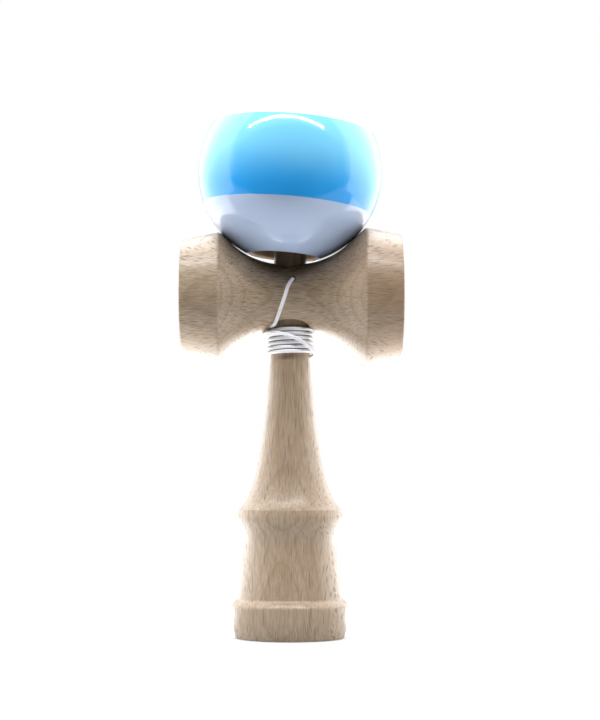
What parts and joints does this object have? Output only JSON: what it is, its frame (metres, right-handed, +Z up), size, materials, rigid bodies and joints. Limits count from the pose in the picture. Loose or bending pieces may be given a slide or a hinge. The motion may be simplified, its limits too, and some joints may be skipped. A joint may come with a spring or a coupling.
{
  "type": "kendama",
  "caption": "Wooden skill toy: a turned handle with a spike, a cross-piece with two cups, and a painted ball with a hole, tied to the handle by a string.",
  "frame": {"origin": "middle of the ring that the base cup stands on, at floor level", "axes": "+Z up along the handle to the spike, +X along the cross-piece to the big cup, -Y to the side with the string's hole"},
  "size_m": [0.071, 0.0612, 0.1814],
  "materials": {
    "handle_wood": "satin",
    "cross_wood": "satin",
    "ball_paint": "gloss",
    "bead_wood": "satin",
    "string": "matte"
  },
  "bodies": {
    "ken": {"ken": "handle_wood", "sarado": "cross_wood", "anchor_knot": "string", "string_anchor": "string", "string_lead": "string", "string_winding": "string", "string_crossing": "string", "string_riser": "string"},
    "string_end": {"bead": "bead_wood", "tail_knot": "string", "string_tail": "string"},
    "tama": {"tama": "ball_paint"}
  },
  "joints": [
    {"name": "tama_lift", "type": "slide", "parent": "ken", "child": "string_end", "axis": [0, 0, 1], "range_m": [0, 0.06], "deforming": ["string_riser"]},
    {"name": "tama_spin", "type": "hinge", "parent": "string_end", "child": "tama", "pos_m": [0, 0, 0.14997], "axis": [0.0785, 0, 0.9969], "continuous": true}
  ]
}
